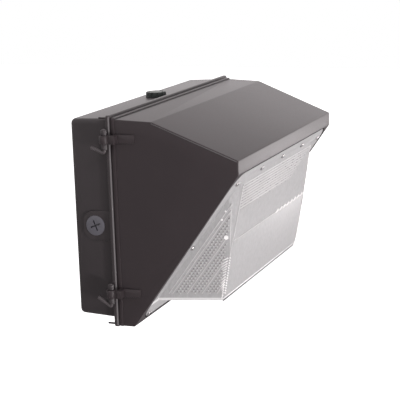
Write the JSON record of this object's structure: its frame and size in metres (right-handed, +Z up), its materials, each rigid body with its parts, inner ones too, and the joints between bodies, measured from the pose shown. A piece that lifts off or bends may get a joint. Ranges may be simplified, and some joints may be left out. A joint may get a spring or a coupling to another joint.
{
  "type": "wall pack light",
  "caption": "Wall pack light: a shallow wall box with a side-hinged sloping hood, a slanted wedge-shaped prismatic refractor and an LED light engine with its driver.",
  "frame": {"origin": "centre of the flat wall face of the rear housing, at the middle of the box's width and height", "axes": "+X across the width, to the right as seen from the front; +Y into the wall, so the light shines towards -Y; +Z up"},
  "size_m": [0.388, 0.1966, 0.2399],
  "materials": {
    "bronze_housing": "satin dark bronze powder coat",
    "bronze_door": "satin dark bronze powder coat",
    "plug_grey": "satin grey die-cast zinc, painted",
    "photocell_black": "satin black moulded plastic",
    "photocell_window": "smoky clear plastic",
    "black_rubber": "matt rubber",
    "grey_silicone": "matt silicone",
    "pin_steel": "dark bronze coated steel wire",
    "stainless": "bright stainless steel",
    "zinc": "zinc-plated steel",
    "ground_green": "green dyed zinc plate",
    "refractor": "clear prismatic polycarbonate",
    "white_reflector": "gloss white baked enamel",
    "plate_aluminium": "mill finish sheet",
    "board_white": "white solder mask",
    "led_phosphor": "yellow phosphor dome",
    "connector_white": "white nylon",
    "driver_case": "satin light grey case",
    "surge_case": "blue potted case",
    "terminal_ivory": "ivory nylon",
    "lead_red": "silicone insulated wire",
    "lead_black": "insulated wire"
  },
  "bodies": {
    "housing": {"rear_housing": "bronze_housing", "conduit_plug_left": "plug_grey", "conduit_plug_right": "plug_grey", "plug_o_rings": "black_rubber", "photocell_body": "photocell_black", "photocell_window": "photocell_window", "photocell_gasket": "black_rubber", "photocell_nut": "zinc", "ground_screw": "ground_green"},
    "door": {"front_door": "bronze_door", "door_gasket": "grey_silicone", "refractor_lens": "refractor", "lens_gasket": "grey_silicone", "lens_screws": "stainless", "reflector": "white_reflector", "heat_plate": "plate_aluminium", "heat_plate_screws": "zinc", "led_board_upper": "board_white", "led_board_middle": "board_white", "led_board_lower": "board_white", "led_chips": "led_phosphor", "board_connectors": "connector_white", "board_screws": "zinc", "led_driver": "driver_case", "driver_screws": "zinc", "surge_protector": "surge_case", "surge_screws": "zinc", "terminal_block": "terminal_ivory", "terminal_screws": "zinc", "led_leads": "lead_red", "driver_leads": "lead_black"},
    "hinge_pin_upper": {"hinge_pin_upper": "pin_steel"},
    "hinge_pin_lower": {"hinge_pin_lower": "pin_steel"},
    "closing_screw_upper": {"closing_screw_upper": "stainless"},
    "closing_screw_lower": {"closing_screw_lower": "stainless"}
  },
  "joints": [
    {"name": "door_swing", "type": "hinge", "parent": "housing", "child": "door", "pos_m": [-0.1888, -0.0477, 0], "axis": [0, 0, -1], "range_deg": [0, 105]},
    {"name": "upper_pin_draw", "type": "slide", "parent": "housing", "child": "hinge_pin_upper", "axis": [0, 0, -1], "range_m": [0, 0.028]},
    {"name": "lower_pin_draw", "type": "slide", "parent": "housing", "child": "hinge_pin_lower", "axis": [0, 0, -1], "range_m": [0, 0.028]},
    {"name": "upper_closing_screw_draw", "type": "slide", "parent": "door", "child": "closing_screw_upper", "axis": [0, -1, 0], "range_m": [0, 0.012]},
    {"name": "lower_closing_screw_draw", "type": "slide", "parent": "door", "child": "closing_screw_lower", "axis": [0, -1, 0], "range_m": [0, 0.012]}
  ]
}
